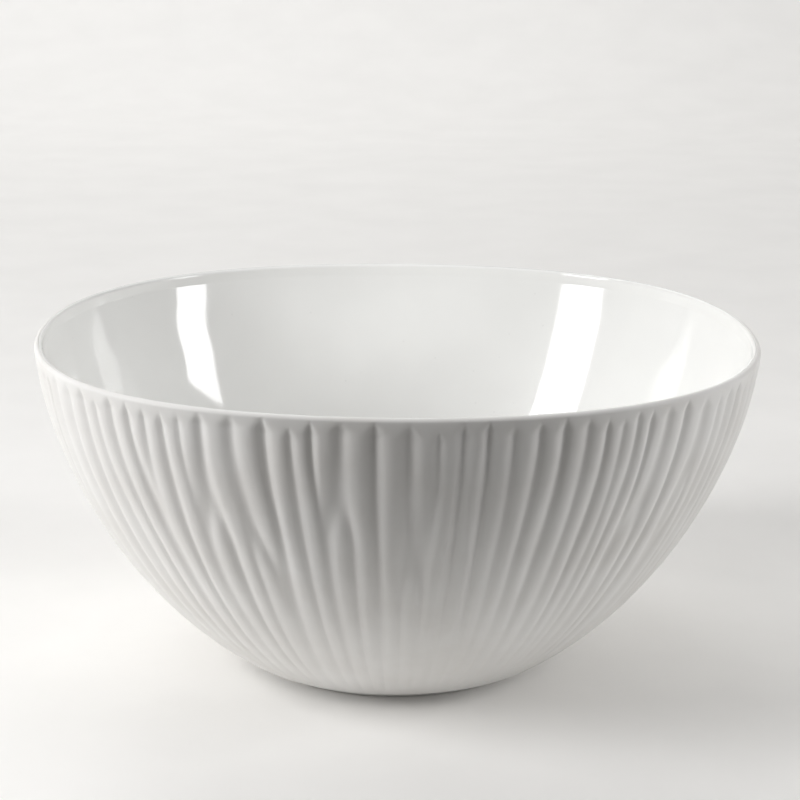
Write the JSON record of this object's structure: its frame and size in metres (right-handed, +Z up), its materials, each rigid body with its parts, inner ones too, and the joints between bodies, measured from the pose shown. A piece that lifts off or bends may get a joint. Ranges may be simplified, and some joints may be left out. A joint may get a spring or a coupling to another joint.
{
  "type": "serving bowl",
  "caption": "Deep porcelain serving bowl with a soft-square plan, unglazed outside with vertical drapery folds, glossy glaze inside, on a low foot ring.",
  "frame": {"origin": "centre of the foot ring, on the plane that the bowl stands on", "axes": "+Z up along the bowl's axis, towards the open rim; -Y towards the front"},
  "size_m": [0.2546, 0.2544, 0.12],
  "materials": {
    "bisque_porcelain": "matt, unglazed, smooth to the touch",
    "clear_glaze": "high gloss"
  },
  "bodies": {
    "root": {"bowl_body": "bisque_porcelain", "inner_glaze": "clear_glaze", "base_glaze": "clear_glaze"}
  },
  "joints": []
}
